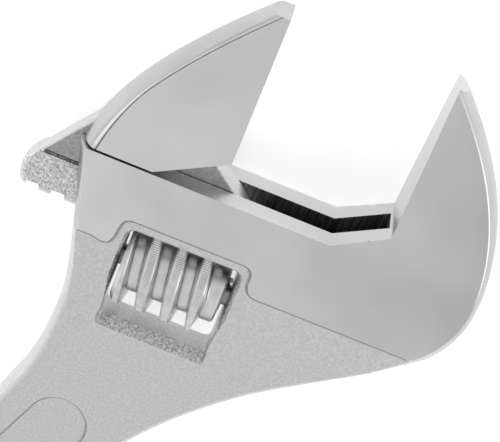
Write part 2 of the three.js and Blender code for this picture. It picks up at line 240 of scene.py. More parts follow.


# %% The crowned flanks: the same satin, darkened a little with painted shade
def shaded_flank_steel():
    material, nodes, links, shader, place = start_steel("shaded_flank_steel", (0.53, 0.53, 0.535), 0.36)
    clouds = noise(nodes, links, place, 60, 2)
    # painted shade: the flanks get a darker copy of the ground steel's tone
    tint(nodes, links, shader, clouds, (0.47, 0.47, 0.475), (0.57, 0.57, 0.575))
    links.new(spread(nodes, links, clouds, 0.32, 0.42), shader.inputs["Roughness"])
    bump(nodes, links, shader, clouds, 0.1)
    return material


# %% [markdown]
# ### The rough finishes
# A forging leaves its die with a skin of scale. Blasting turns the skin into an even pebble, and
# where the blast and the wheel can't reach, it stays coarse. Steps and creases are darkened with
# painted shade. A milling cutter leaves slanting marks, which are a noise that is drawn out along
# one direction and turned, and the milled metal is darkened with painted shade too.

# %% Blasted forging: a fine even pebble
def blasted_steel():
    material, nodes, links, shader, place = start_steel("blasted_steel", (0.66, 0.66, 0.66), 0.46)
    pebble = noise(nodes, links, place, 1700, 3)
    patches = noise(nodes, links, place, 90, 2)
    tint(nodes, links, shader, pebble, (0.62, 0.62, 0.62), (0.76, 0.76, 0.76))
    links.new(spread(nodes, links, patches, 0.44, 0.52), shader.inputs["Roughness"])
    swell = bump(nodes, links, shader, patches, 0.06)
    bump(nodes, links, shader, pebble, 0.05, swell)
    return material


# %% The window's slopes and the slide: coarse, sparkling scale
def coarse_steel():
    material, nodes, links, shader, place = start_steel("coarse_steel", (0.6, 0.6, 0.6), 0.4)
    grains = noise(nodes, links, place, 1900, 4)
    lumps = noise(nodes, links, place, 500, 2)
    tint(nodes, links, shader, grains, (0.34, 0.34, 0.34), (1.0, 1.0, 1.0))
    links.new(spread(nodes, links, grains, 0.36, 0.52), shader.inputs["Roughness"])
    swell = bump(nodes, links, shader, lumps, 0.08)
    bump(nodes, links, shader, grains, 0.09, swell)
    return material


# %% The milled slot and bore: slanting cutter marks on metal darkened with painted shade
def milled_and_shaded_steel():
    material, nodes, links, shader, place = start_steel("milled_and_shaded_steel", (0.4, 0.4, 0.4), 0.38)
    marks = noise(nodes, links, place, 2600, 4, (1, 0.04, 1), (0, 0, radians(28)))
    # painted shade: the tint runs down to near black for the shade in the slot; its streaks are the
    # cutter's marks
    tint(nodes, links, shader, marks, (0.05, 0.05, 0.05), (0.42, 0.42, 0.42))
    bump(nodes, links, shader, marks, 0.05)
    return material


# %% Steps and creases: painted shade, a dark tint for the shade that falls in them
def painted_shade_steel():
    material, nodes, links, shader, place = start_steel("painted_shade_steel", (0.4, 0.4, 0.4), 0.42)
    grains = noise(nodes, links, place, 1400, 3)
    # painted shade: a dark tint for steps, creases and the web's sides
    tint(nodes, links, shader, grains, (0.34, 0.34, 0.34), (0.5, 0.5, 0.5))
    bump(nodes, links, shader, grains, 0.03)
    return material


# %% The knurl and the small parts: turned, then plated
def turned_steel(name, light, dark, roughness):
    """Fine rings run round the axis, which lies along X."""
    material, nodes, links, shader, place = start_steel(name, light, roughness)
    rings = noise(nodes, links, place, 1500, 2, (1, 0.04, 0.04))
    patches = noise(nodes, links, place, 320, 3)
    tint(nodes, links, shader, patches, dark, light)
    links.new(spread(nodes, links, patches, roughness - 0.06, roughness + 0.1), shader.inputs["Roughness"])
    bump(nodes, links, shader, rings, 0.006)
    return material


GROUND, BLASTED, COARSE, MILLED_AND_SHADED, PAINTED_SHADE, SHADED_FLANK = range(6)
FORGING = [ground_steel(), blasted_steel(), coarse_steel(), milled_and_shaded_steel(), painted_shade_steel(),
           shaded_flank_steel()]
print("steel finishes:", [material.name for material in FORGING])

# %% [markdown]
# ## Working on a piece
# Each helper here stands for one workshop operation. A plate is grown from its outline at mid
# thickness by insets, so that its flanks are crowned as a forging's are. A cutter is a plain
# solid that a Boolean takes away. Every piece is finished the same way: sharp edges are eased,
# the normals are weighted by area so that flats stay flat, and the mesh is moved into the frame.

# %% Outlines
def bezier(start, first, second, end, steps):
    """The points of a curve after its start."""
    knots = [Vector((*point, 0)) for point in (start, first, second, end)]
    return [(p.x, p.y) for p in interpolate_bezier(*knots, steps + 1)][1:]


def straight(start, end, steps):
    """The points of a line after its start."""
    return [(start[0] + (end[0] - start[0]) * k / steps, start[1] + (end[1] - start[1]) * k / steps)
            for k in range(1, steps + 1)]


def arc(centre, radius, start, sweep, steps):
    turn = [start + sweep * k / steps for k in range(steps + 1)]
    return [(centre[0] + radius * cos(a), centre[1] + radius * sin(a)) for a in turn]


def on_handle(along, across):
    """A point of the handle, from its length away from the head and its place across it."""
    down = Vector((-sin(HANDLE_ANGLE), -cos(HANDLE_ANGLE)))
    right = Vector((cos(HANDLE_ANGLE), -sin(HANDLE_ANGLE)))
    return tuple(HANDLE_TOP + down * along + right * across)


def handle_length():
    """From the handle's top to its far end, so that the jaws' tips are OVERALL_LENGTH from there."""
    down = Vector((-sin(HANDLE_ANGLE), -cos(HANDLE_ANGLE)))
    return OVERALL_LENGTH + JAW_REACH * down.y - HANDLE_TOP.dot(down)


print("the handle runs on for", round(handle_length(), 1), "mm")

# %% Mesh helpers
def everything(bm):
    return bm.verts[:] + bm.edges[:] + bm.faces[:]


def face_up(bm, face):
    """Turns a lone face so that it grows upwards."""
    bm.normal_update()
    if face.normal.z < 0:
        face.normal_flip()


def top_of(extruded):
    return [item for item in extruded["geom"] if isinstance(item, bmesh.types.BMFace)][0]


def give_finish(bm, finish):
    for face in bm.faces:
        face.material_index = finish
        face.smooth = True


def new_piece(name, bm, materials):
    """A mesh object with its faces pointing outwards."""
    bmesh.ops.recalc_face_normals(bm, faces=bm.faces)
    if bm.calc_volume(signed=True) < 0:
        bmesh.ops.reverse_faces(bm, faces=bm.faces)
    mesh = bpy.data.meshes.new(name)
    bm.to_mesh(mesh)
    bm.free()
    for material in materials:
        mesh.materials.append(material)
    piece = bpy.data.objects.new(name, mesh)
    bpy.context.scene.collection.objects.link(piece)
    return piece


# %% Three ways to make a solid: a plate, a straight cutter and a turned one
def crowned_plate(name, outline, profile, crown, half_thickness, bends, finish):
    """A plate grown from its mid outline.

    The profile's points are (share of the crown, share of the half thickness). The crown says how
    far the flank leans in above a point of the outline. The half thickness goes by y, and the
    plate gets an edge at each bend, so that it can bend there. The finish is chosen face by face.
    """
    bm = bmesh.new()
    face = bm.faces.new([bm.verts.new((x, y, 0)) for x, y in outline])
    face_up(bm, face)
    rim = [vert.co.copy() for vert in face.verts]
    foot_of = {}
    done = (0.0, 0.0)
    for inset, height in profile:
        bmesh.ops.inset_region(bm, faces=[face], thickness=inset - done[0], depth=height - done[1],
                               use_boundary=True, use_even_offset=True)
        foot_of.update((vert.co.to_tuple(5), foot) for vert, foot in zip(face.verts, rim))
        done = (inset, height)
    for vert in bm.verts:
        foot = foot_of.get(vert.co.to_tuple(5), vert.co)
        vert.co.xy = foot.xy + (vert.co.xy - foot.xy) * crown(foot)
    for y in bends:
        bmesh.ops.bisect_plane(bm, geom=everything(bm), dist=1e-5, plane_co=(0, y, 0),
                               plane_no=(0, 1, 0))
    for vert in bm.verts:
        vert.co.z *= half_thickness(vert.co.y)
    bmesh.ops.mirror(bm, geom=everything(bm), matrix=Matrix.Identity(4), merge_dist=1e-4, axis="Z")
    bm.normal_update()
    for face in bm.faces:
        face.material_index = finish(face)
        face.smooth = True
    return new_piece(name, bm, FORGING)


def prism(outline, low, high, finish, rim=0.0, rim_depth=0.0):
    """A straight cutter between two heights. With a rim, it flares at its top, and the flare is darkened
    with painted shade.
    """
    bm = bmesh.new()
    face = bm.faces.new([bm.verts.new((x, y, low)) for x, y in outline])
    face_up(bm, face)
    top = top_of(bmesh.ops.extrude_face_region(bm, geom=[face]))
    bmesh.ops.translate(bm, verts=top.verts, vec=(0, 0, high - low - rim_depth))
    give_finish(bm, finish)
    if rim:
        flare = bmesh.ops.inset_region(bm, faces=[top], thickness=-rim, depth=rim_depth,
                                       use_boundary=True, use_even_offset=True)
        for face in flare["faces"]:
            # painted shade: the flare's faces get the dark finish
            face.material_index = PAINTED_SHADE
            face.smooth = True
    return new_piece("cutter", bm, FORGING)


def turned(name, profile, y, finish=0, materials=None, steps=72):
    """A round solid about an axis along X. The profile is (x, radius), from axis to axis."""
    bm = bmesh.new()
    chain = [bm.verts.new((x, y + radius, 0)) for x, radius in profile]
    edges = [bm.edges.new(pair) for pair in zip(chain, chain[1:])]
    bmesh.ops.spin(bm, geom=chain + edges, cent=(0, y, 0), axis=(1, 0, 0), angle=2 * pi,
                   steps=steps, use_merge=True)
    bmesh.ops.remove_doubles(bm, verts=bm.verts, dist=1e-4)
    give_finish(bm, finish)
    return new_piece(name, bm, materials or FORGING)


def rod(radius, left, right, y, finish=MILLED_AND_SHADED, materials=None):
    """A round cutter about an axis along X."""
    profile = [(left, 0), (left, radius), (right, radius), (right, 0)]
    return turned("cutter", profile, y, finish, materials)


# %% Cutting, joining and finishing
def combine(piece, other, operation="DIFFERENCE"):
    """Cuts, joins or trims a piece by another, which is used up."""
    modifier = piece.modifiers.new("combine", "BOOLEAN")
    modifier.operation = operation
    modifier.object = other
    modifier.solver = "EXACT"
    modifier.material_mode = "INDEX"
    settle(piece)
    bpy.data.objects.remove(other)
    return piece


def settle(piece):
    """Makes a piece's modifiers part of its mesh."""
    graph = bpy.context.evaluated_depsgraph_get()
    mesh = bpy.data.meshes.new_from_object(piece.evaluated_get(graph))
    piece.modifiers.clear()
    piece.data = mesh


def clean(piece, sliver=0.004):
    """Takes away the slivers that cuts leave."""
    bm = bmesh.new()
    bm.from_mesh(piece.data)
    bmesh.ops.remove_doubles(bm, verts=bm.verts, dist=sliver)
    bmesh.ops.dissolve_degenerate(bm, edges=bm.edges, dist=sliver)
    bmesh.ops.dissolve_limit(bm, angle_limit=radians(0.2), verts=bm.verts, edges=bm.edges,
                             delimit={"MATERIAL"})
    bm.to_mesh(piece.data)
    bm.free()


def finish_piece(piece, ease, angle=35, segments=2):
    """Eases the sharp edges, keeps the flats flat and moves the mesh into the frame."""
    if ease:
        bevel = piece.modifiers.new("eased edges", "BEVEL")
        bevel.limit_method = "ANGLE"
        bevel.angle_limit = radians(angle)
        bevel.width = ease
        bevel.segments = segments
        bevel.use_clamp_overlap = True
        settle(piece)
    mesh = piece.data
    mesh.transform(HEAD_TO_FRAME)
    for polygon in mesh.polygons:
        polygon.use_smooth = True
    weighted = piece.modifiers.new("flat flats", "WEIGHTED_NORMAL")
    weighted.keep_sharp = True
    mesh.set_sharp_from_angle(angle=radians(40))
    settle(piece)
    print(piece.name, len(piece.data.polygons), "faces")
    return piece


# %% [markdown]
# ## The body
# The handle, the head and the fixed jaw are one drop forging. Its flanks are crowned, because a
# forging needs draft to leave the die, and its thickness falls away towards the jaw's tip and
# towards the handle. One outline is enough: the crown and the thickness come from the plate
# helper. The outline runs on past the mouth, whose faces are cut square afterwards.

# %% How thick the forging is, and how its flanks lean in
def smooth_step(value, low, high):
    share = min(1.0, max(0.0, (value - low) / (high - low)))
    return share * share * (3 - 2 * share)


def taper_to_tip(y):
    return HEAD_HALF + (TIP_HALF - HEAD_HALF) * max(0.0, y) / JAW_REACH


def body_half(y):
    if y > CHEEK_FOOT:
        return taper_to_tip(y)
    return HEAD_HALF + (HANDLE_HALF - HEAD_HALF) * smooth_step(-y, -CHEEK_FOOT, -NECK_FOOT + 6)


NECK_BENDS = [CHEEK_FOOT - k * 2.8 for k in range(11)]
FLANK = [(0.05, 0.3), (0.15, 0.55), (0.32, 0.75), (0.54, 0.88), (0.77, 0.965), (1.0, 1.0)]


def body_crown(foot):
    """How far the near face's edge lies inside the mid outline, in millimetres."""
    if foot.x < -20 or foot.y < -30:
        return 2.7
    if foot.y > 0:
        return 2.6 - 0.6 * foot.y / JAW_REACH
    return 2.6 + 1.6 * smooth_step(-foot.y, 0, 18) - 1.5 * smooth_step(-foot.y, 22, 30)


# %% The outline at mid thickness
def body_outline():
    """Clockwise from the head's upper left: over the mouth, down the fixed jaw, round the handle."""
    overrun = 6.0
    end_along = handle_length() - END_RADIUS
    half = HANDLE_WIDTH / 2
    waist = handle_length() * 0.45
    tip = (2.4, JAW_REACH - 0.6)
    side = (JAW_ROOT, -5.0)
    heel = (17.5, -22.3)
    neck_side = (-11.0, -45.9)
    points = [(-HEAD_LEFT - 1.5, overrun), (-overrun, overrun),
              (-overrun, tip[1] + tip[0] + overrun), tip]
    points += bezier(tip, (14.6, JAW_REACH - 13), (JAW_ROOT, 14.8), side, 30)
    points += bezier(side, (JAW_ROOT, -12), (22.5, -18.5), heel, 16)
    points += straight(heel, neck_side, 8)
    points += bezier(neck_side, (-20, -53.4), (-32.5, -66.3), on_handle(0, half), 24)
    middle = on_handle(waist, HANDLE_WAIST / 2)
    points += bezier(on_handle(0, half), on_handle(waist * 0.4, half - 1.9),
                     on_handle(waist * 0.6, HANDLE_WAIST / 2), middle, 16)
    shoulder = on_handle(end_along, END_RADIUS)
    points += bezier(middle, on_handle(waist * 1.5, HANDLE_WAIST / 2),
                     on_handle(end_along - 25, END_RADIUS), shoulder, 14)
    points += arc(on_handle(end_along, 0), END_RADIUS, -HANDLE_ANGLE, -pi, 40)[1:]
    shoulder = on_handle(end_along, -END_RADIUS)
    middle = on_handle(waist, -HANDLE_WAIST / 2)
    points += bezier(shoulder, on_handle(end_along - 25, -END_RADIUS),
                     on_handle(waist * 1.5, -HANDLE_WAIST / 2), middle, 14)
    points += bezier(middle, on_handle(waist * 0.6, -HANDLE_WAIST / 2),
                     on_handle(waist * 0.4, -half + 1.9), on_handle(0, -half), 16)
    neck = (-63.2, NECK_FOOT)
    points += bezier(on_handle(0, -half), on_handle(-8.3, -half), (-63.2, -50), neck, 16)
    points += bezier(neck, (-63.2, -30), (-HEAD_LEFT + 2, -9), (-HEAD_LEFT, 0), 24)
    return points


print("the body's outline has", len(body_outline()), "points")

# %% The mouth and the step below the cheeks. BEYOND and FAR_LEFT lie outside the forging
BEYOND = 15.0
FAR_LEFT = -90.0


def mouth_cutter():
    """The flat, the slanting throat, the fixed jaw's face and the slope of its tip."""
    far, above = HEAD_LEFT + 40, 60
    outline = [(-far, 0), (-THROAT[0], 0), (0, THROAT[1]), (0, JAW_REACH - 0.1),
               (8, JAW_REACH - 2.0), (8, above), (-far, above)]
    return prism(outline, -BEYOND, BEYOND, GROUND)


def cheek_ledge(side):
    """The forging lies a little below the ground cheeks, below their foot and round the window."""
    left, _, right, _ = WINDOW
    crown, far_left, far_right, below = -13.0, -HEAD_LEFT - 5, JAW_ROOT + 5, -75
    outline = [(far_left, CHEEK_FOOT), (left - 7.4, CHEEK_FOOT)]
    outline += bezier(outline[-1], (left - 3.2, -21.4), (left - 2.4, -19.6), (left - 2, -16.6), 10)
    outline += bezier(outline[-1], (left - 1.7, -13.6), (left - 1.4, crown), (left + 0.8, crown), 8)
    outline += [(right - 0.8, crown)]
    outline += bezier(outline[-1], (right + 1.2, crown), (right + 1.7, -13.6), (right + 1.7, -15.8), 8)
    outline += bezier(outline[-1], (right + 1.9, -19.2), (right + 3.2, CHEEK_FOOT),
                      (right + 5.4, CHEEK_FOOT), 10)
    outline += [(far_right, CHEEK_FOOT), (far_right, below), (far_left, below)]
    slope = CHEEK_STEP + 0.1
    # painted shade: the ledge's slope is darkened through the cutter's rim
    cutter = prism(outline, HEAD_HALF - CHEEK_STEP, HEAD_HALF + 0.1, BLASTED, slope, slope)
    return turn_over(cutter, side)


def turn_over(cutter, side):
    """A cutter drawn on the near face, or its mirror image on the far one."""
    if side < 0:
        cutter.data.transform(Matrix.Scale(-1, 4, (0, 0, 1)))
        cutter.data.flip_normals()
    return cutter


# %% [markdown]
# ### The window
# The knurl sits in a window through the head, where the thumb reaches it from both faces. The
# window's rim slopes in, and below it a rough foot slopes out to the neck. One cutter goes
# through. On each face another one, grown by insets, slopes the rim, and a third one, whose rings
# are bridged, makes the foot.

# %% The window's cuts
def rounded_box(left, low, right, high, radius, steps=8):
    """Anticlockwise from the right side, with a quarter circle at each corner."""
    centres = [(right - radius, high - radius), (left + radius, high - radius),
               (left + radius, low + radius), (right - radius, low + radius)]
    points = []
    for quarter, centre in enumerate(centres):
        points += arc(centre, radius, quarter * pi / 2, pi / 2, steps)
    return points


def window_cutters():
    through = prism(rounded_box(*WINDOW, WINDOW_CORNER), -BEYOND, BEYOND, BLASTED)
    return [through, window_mouth(1), window_mouth(-1), window_foot(1), window_foot(-1)]


def window_mouth(side):
    """A narrow slope round the window's rim. Its rings are (how far out, height)."""
    low = HEAD_HALF - 2.6
    rings = [(0.0, low), (0.3, HEAD_HALF - 1.6), (0.9, HEAD_HALF - 0.75), (2.4, HEAD_HALF + 1.2)]
    bm = bmesh.new()
    face = bm.faces.new([bm.verts.new((x, y, low)) for x, y in rounded_box(*WINDOW, WINDOW_CORNER)])
    face_up(bm, face)
    top = top_of(bmesh.ops.extrude_face_region(bm, geom=[face]))
    bmesh.ops.translate(bm, verts=top.verts, vec=(0, 0, 0.01))
    for (before, start), (after, stop) in zip(rings, rings[1:]):
        bmesh.ops.inset_region(bm, faces=[top], thickness=before - after, depth=stop - start,
                               use_boundary=True, use_even_offset=True)
    give_finish(bm, COARSE)
    return turn_over(new_piece("cutter", bm, FORGING), side)


def window_foot(side):
    """The rough slope below the window. Its levels are (height, how far out, how far down)."""
    left, low, right, _ = WINDOW
    inside, corner = 2.0, 0.9
    bm = bmesh.new()
    rings = []
    for height, out, down in ((3.5, -0.3, 0.0), (6.3, 0.1, 2.0), (10.5, 1.6, 5.0)):
        outline = rounded_box(left - out, low - down, right + out, low + inside, corner, 4)
        verts = [bm.verts.new((x, y, height)) for x, y in outline]
        rings.append([bm.edges.new(pair) for pair in zip(verts, verts[1:] + verts[:1])])
    for lower, upper in zip(rings, rings[1:]):
        bmesh.ops.bridge_loops(bm, edges=lower + upper)
    for end in (rings[0], rings[-1]):
        bmesh.ops.contextual_create(bm, geom=end)
    give_finish(bm, COARSE)
    return turn_over(new_piece("cutter", bm, FORGING), side)


# %% [markdown]
# ### The slot, the bores and the handle
# The sliding jaw's web runs in a milled slot, and its barrel in a bore below it. A cutter's finish
# passes to the walls that it leaves, so these two leave milled walls, darkened with painted shade.
# The pin's bore comes in from the left flank. The handle has a shallow panel on each face and a
# hole to hang it by.

# %% The other cuts
def slot_cutter():
    """The slot that the sliding jaw's web runs in, from the bore up to the flat and the throat."""
    far, above = -HEAD_LEFT - 20, 12
    outline = [(far, above), (-0.5, above), (-0.5, THROAT[1] - 2.4), (SLOT_END, -6.6),
               (SLOT_END, SLIDE_AXIS), (far, SLIDE_AXIS)]
    # the slot's walls get the milled finish, whose dark tint is painted shade
    return prism(outline, -WEB_HALF - GAP, WEB_HALF + GAP, MILLED_AND_SHADED)


def handle_panel(side):
    """A sunk panel with round ends and walls that slope at 45 degrees."""
    over = 0.4
    radius = PANEL_HALF - PANEL_DEPTH
    slope = PANEL_DEPTH + over
    outline = arc(on_handle(0, 0), radius, -HANDLE_ANGLE, pi, 24)
    outline += arc(on_handle(PANEL_LENGTH, 0), radius, pi - HANDLE_ANGLE, pi, 24)
    # painted shade: the panel's sloping walls are darkened through the cutter's rim
    cutter = prism(outline, HANDLE_HALF - PANEL_DEPTH, HANDLE_HALF + over, BLASTED, slope, slope)
    return turn_over(cutter, side)


def hang_hole_cutter():
    centre = on_handle(handle_length() - END_RADIUS, 0)
    return prism(arc(centre, HANG_RADIUS, 0, 2 * pi, 64)[:-1], -BEYOND, BEYOND, BLASTED)


def pin_seat():
    """The pin's bore, and a wider one for its head."""
    return [rod(PIN_RADIUS + GAP, FAR_LEFT, PIN_RIGHT + GAP, KNURL_AXIS),
            rod(PIN_HEAD + GAP, FAR_LEFT, PIN_HEAD_LEFT + PIN_HEAD_LONG + GAP, KNURL_AXIS)]


# %% Making the body
def ground_or_shaded_flank(face):
    """A face that leans by more than 45 degrees belongs to a flank, which is darkened with painted shade.
    """
    return SHADED_FLANK if abs(face.normal.z) < 0.7 else GROUND


def body_finish(face):
    return ground_or_shaded_flank(face) if face.calc_center_median().y > CHEEK_FOOT else BLASTED


def make_body():
    body = crowned_plate("wrench_body", body_outline(), FLANK, body_crown, body_half,
                         [0.0, *NECK_BENDS], body_finish)
    cutters = [mouth_cutter(), cheek_ledge(1), cheek_ledge(-1), *window_cutters(), slot_cutter(),
               rod(SLIDE_RADIUS + GAP, FAR_LEFT, SLOT_END, SLIDE_AXIS), *pin_seat(),
               handle_panel(1), handle_panel(-1), hang_hole_cutter()]
    for cutter in cutters:
        combine(body, cutter)
    clean(body)
    return finish_piece(body, 0.3)


body = make_body()
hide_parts("body")
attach(body, "handle")

# %% [markdown]
# ## The sliding jaw
# The sliding jaw is a second forging: the jaw itself, a web under it that runs in the body's
# slot, and a round barrel with a rack on its underside. The jaw is a crowned plate like the
# body, the barrel is turned with a round nose, and the web is a plate with eased edges.

# %% Sizes of the sliding jaw and its rack
JAW_FOOT = -CAPACITY - 32.2
JAW_SLOPE = (15.3, 8.8)
SLIDE_LEFT = -81.3
SLIDE_RIGHT = -26.0
RACK_TOP = -15.1
RACK_PHASE = -47.2
PITCH = 6.13
THREAD_FLANK = radians(10)
KNURL_RADIUS = 11.0
print("the slide is", round(SLIDE_RIGHT - SLIDE_LEFT, 1), "mm long, with a tooth every", PITCH, "mm")


# %% The jaw
def jaw_outline():
    """It runs on below the foot and past the face, which are cut square afterwards."""
    face, overrun = -CAPACITY, 6.0
    tip = (face - 4.4, JAW_REACH)
    points = [(JAW_FOOT - 1, -overrun), (face + overrun, -overrun),
              (face + overrun, JAW_REACH + 11.0), tip]
    return points + bezier(tip, (face - 18.2, JAW_REACH - 14.5), (JAW_FOOT + 2.2, 12),
                           (JAW_FOOT, GAP), 36)


def jaw_region():
    """What is left of the plate: above the flat, and left of the jaw's face and slope."""
    face, far = -CAPACITY, -110
    foot = GAP + 0.25
    outline = [(far, foot), (face - JAW_SLOPE[0], foot), (face, JAW_SLOPE[1]), (face, JAW_REACH),
               (far, JAW_REACH)]
    return prism(outline, -BEYOND, BEYOND, GROUND)


def jaw_crown(foot):
    return 3.4 - 1.6 * smooth_step(foot.y, 0, 20)


# A fine groove that goes on from the flank's profile and parts it from the ground cheek. Its faces are
# darkened with painted shade.
CHEEK_LINE = [(1.07, 0.975), (1.14, 1.0)]


def shade_the_cheek_line(jaw):
    for face in jaw.data.polygons:
        near_the_top = abs(face.center.z) > 0.985 * taper_to_tip(face.center.y)
        if near_the_top and abs(face.normal.z) < 0.82:
            # painted shade: the groove along the cheek is darkened
            face.material_index = PAINTED_SHADE


def shade_the_tip(jaw):
    for face in jaw.data.polygons:
        if face.normal.y > 0.9:
            # painted shade: the jaw's end that faces along y gets the flanks' darker tone
            face.material_index = SHADED_FLANK


# %% The web and the barrel
def web_outline():
    return [(JAW_FOOT + 4, 8), (JAW_FOOT - 2.1, 0.2), (SLIDE_LEFT + 0.8, SLIDE_AXIS + 1.8),
            (SLIDE_LEFT + 1.2, SLIDE_AXIS), (SLIDE_RIGHT, SLIDE_AXIS),
            (SLIDE_RIGHT, SLIDE_AXIS + SLIDE_RADIUS), (-CAPACITY - 4.6, JAW_SLOPE[1] - 2.4)]


def make_web():
    """Sides darkened with painted shade, a ground front where the slope of the jaw runs on, and a blasted
    back.
    """
    web = prism(web_outline(), -WEB_HALF, WEB_HALF, COARSE)
    bm = bmesh.new()
    bm.from_mesh(web.data)
    bmesh.ops.bevel(bm, geom=bm.edges[:], offset=0.8, segments=3, profile=0.5, affect="EDGES",
                    material=-1)
    for face in bm.faces:
        # painted shade: the web's sides are darkened; the front is ground and the rest blasted
        face.material_index = PAINTED_SHADE if abs(face.normal.z) > 0.9 else BLASTED
        if face.normal.x > 0.5:
            face.material_index = GROUND
    bm.to_mesh(web.data)
    bm.free()
    return web


def make_barrel(round_end=3.2):
    profile = [(SLIDE_LEFT, 0)]
    profile += arc((SLIDE_LEFT + round_end, SLIDE_RADIUS - round_end), round_end, pi, -pi / 2, 8)
    profile += [(SLIDE_RIGHT, SLIDE_RADIUS), (SLIDE_RIGHT, 0)]
    return turned("barrel", profile, SLIDE_AXIS, COARSE)


def crease(side):
    """A narrow groove where the web meets the barrel, darkened with painted shade by its milled finish."""
    rise = (SLIDE_RADIUS ** 2 - WEB_HALF ** 2) ** 0.5
    # the groove gets the milled finish, whose dark tint paints the shade of the crease
    cutter = rod(0.45, SLIDE_LEFT + 4, SLIDE_RIGHT - 1, SLIDE_AXIS + rise)
    cutter.data.transform(Matrix.Translation((0, 0, side * WEB_HALF)))
    return cutter


def nose_trim():
    """Takes the barrel's upper left corner down to the web's slope."""
    far = SLIDE_LEFT - 5
    outline = [(JAW_FOOT - 2.1, 0.2), (SLIDE_LEFT + 0.8, SLIDE_AXIS + 1.8), (far, SLIDE_AXIS - 6),
               (far, 0.2)]
    return prism(outline, -BEYOND, BEYOND, COARSE)


def rack_gap(index):
    """A gap of the rack, which widens downwards and leans as the knurl's thread does."""
    lean = atan2(PITCH, 2 * pi * (KNURL_RADIUS - 1.65))
    depth, half = 4.3, 1.4
    flare = depth * tan(THREAD_FLANK)
    outline = [(-half, RACK_TOP), (-half - flare, RACK_TOP - depth), (half + flare, RACK_TOP - depth),
               (half, RACK_TOP)]
    cutter = prism(outline, -8, 8, MILLED_AND_SHADED)
    place = Matrix.Translation((RACK_PHASE + index * PITCH, 0, 0)) @ Matrix.Rotation(lean, 4, "Y")
    cutter.data.transform(place)
    return cutter


# %% Making the sliding jaw
def make_sliding_jaw():
    jaw = crowned_plate("sliding_jaw", jaw_outline(), FLANK + CHEEK_LINE, jaw_crown, taper_to_tip,
                        [0.0], ground_or_shaded_flank)
    shade_the_cheek_line(jaw)
    combine(jaw, jaw_region(), "INTERSECT")
    shade_the_tip(jaw)
    slide = combine(make_barrel(), nose_trim())
    combine(jaw, slide, "UNION")
    combine(jaw, make_web(), "UNION")
    for cutter in [crease(1), crease(-1)] + [rack_gap(index) for index in range(-5, 4)]:
        combine(jaw, cutter)
    clean(jaw)
    return finish_piece(jaw, 0.3)


sliding_jaw = make_sliding_jaw()
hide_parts("movable_jaw")
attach(sliding_jaw, "jaw")

# %% [markdown]
# ## The knurl
# The knurl is a worm with one right-hand thread. A lathe makes the thread and a knurling wheel
# rolls fine ridges across its crest. Here one pitch of the thread's section is spun about the
# axis and shifted as it goes, which winds the whole thread. Every second vertex of the crest is
# then pressed in a little, which makes the ridges.

# %% The knurl's thread
KNURL_LEFT = -52.5
KNURL_RIGHT = -28.3
CORE_RADIUS = 7.3
KNURL_BORE = 2.8
SPRING_SEAT = (8.0, 4.6)
RIDGES = 126
TURNS = 6
print("the crest carries a ridge every", round(2 * pi * KNURL_RADIUS / RIDGES, 2), "mm")


def thread_section(start):
    """One pitch of the thread from groove to groove, as (x, radius)."""
    crest, corner = 1.15, 0.65
    foot = crest + (KNURL_RADIUS - CORE_RADIUS) * tan(THREAD_FLANK)
    flank = [(-PITCH / 2, CORE_RADIUS), (-foot - 0.35, CORE_RADIUS), (-foot + 0.02, CORE_RADIUS + 0.3),
             (-crest - 0.1, KNURL_RADIUS - corner), (-crest, KNURL_RADIUS - 0.27),
             (-crest + 0.22, KNURL_RADIUS - 0.07), (-crest + 0.5, KNURL_RADIUS)]
    section = flank + [(0.0, KNURL_RADIUS)] + [(-x, radius) for x, radius in reversed(flank)]
    return [(start + x, radius) for x, radius in section]


def wind_thread(start):
    """Two steps to a ridge, so that every second vertex can be pressed in."""
    steps = 2 * RIDGES
    bm = bmesh.new()
    chain = [bm.verts.new((x, KNURL_AXIS + radius, 0)) for x, radius in thread_section(start)]
    edges = [bm.edges.new(pair) for pair in zip(chain, chain[1:])]
    bmesh.ops.spin(bm, geom=chain + edges, cent=(0, KNURL_AXIS, 0), axis=(1, 0, 0),
                   dvec=(PITCH / steps, 0, 0), angle=2 * pi * TURNS, steps=steps * TURNS)
    bmesh.ops.remove_doubles(bm, verts=bm.verts, dist=1e-3)
    return bm


def press_ridges(bm, depth=0.2):
    for vert in bm.verts:
        radius = hypot(vert.co.y - KNURL_AXIS, vert.co.z)
        if radius < KNURL_RADIUS - 0.2:
            continue
        step = round(atan2(vert.co.z, vert.co.y - KNURL_AXIS) / (pi / RIDGES))
        if step % 2:
            vert.co.y += (KNURL_AXIS - vert.co.y) * depth / radius
            vert.co.z -= vert.co.z * depth / radius


def close_end(bm, x, side):
    """Cuts the thread square at x and closes it with one face."""
    bmesh.ops.bisect_plane(bm, geom=everything(bm), dist=1e-6, plane_co=(x, 0, 0),
                           plane_no=(side, 0, 0), clear_outer=True)
    rim = [edge for edge in bm.edges if edge.is_boundary and abs(edge.verts[0].co.x - x) < 1e-4
           and abs(edge.verts[1].co.x - x) < 1e-4]
    bmesh.ops.contextual_create(bm, geom=rim)


print("one pitch of the thread has", len(thread_section(0)), "points")

# %% Making the knurl
def knurl_profile():
    """The blank that the thread is trimmed to, with a chamfer on the left and a hub on the right."""
    left, right, chamfer, over = KNURL_LEFT, KNURL_RIGHT, 1.2, KNURL_RADIUS + 0.1
    hub, shoulder = CORE_RADIUS + 0.02, right - 3.2
    return [(left, 0), (left, KNURL_RADIUS - chamfer), (left + chamfer, over),
            (shoulder - chamfer, over), (shoulder, hub), (right - 0.5, hub), (right, hub - 0.5),
            (right, 0)]


